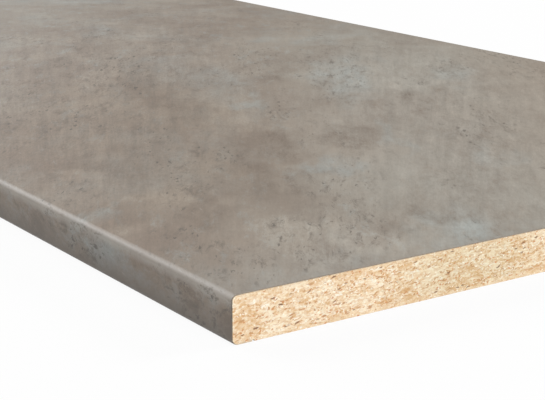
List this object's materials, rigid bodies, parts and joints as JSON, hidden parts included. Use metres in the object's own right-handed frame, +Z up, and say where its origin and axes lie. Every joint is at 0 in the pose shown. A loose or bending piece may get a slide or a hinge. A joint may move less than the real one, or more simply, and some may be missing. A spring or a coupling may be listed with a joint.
{
  "type": "laminate worktop",
  "caption": "Straight kitchen worktop board: chipboard core with a concrete-pattern laminate rolled over its rounded front edge.",
  "frame": {"origin": "middle of the underside, which is the bottom centre of the bounding box", "axes": "+X along the length of the board, -Y out of the rounded front edge, +Z up out of the worktop face"},
  "size_m": [1.86, 0.635, 0.028],
  "materials": {
    "chipboard": "raw saw cut",
    "laminate": "satin concrete pattern"
  },
  "bodies": {
    "root": {"chipboard_core": "chipboard", "laminate": "laminate"}
  },
  "joints": []
}
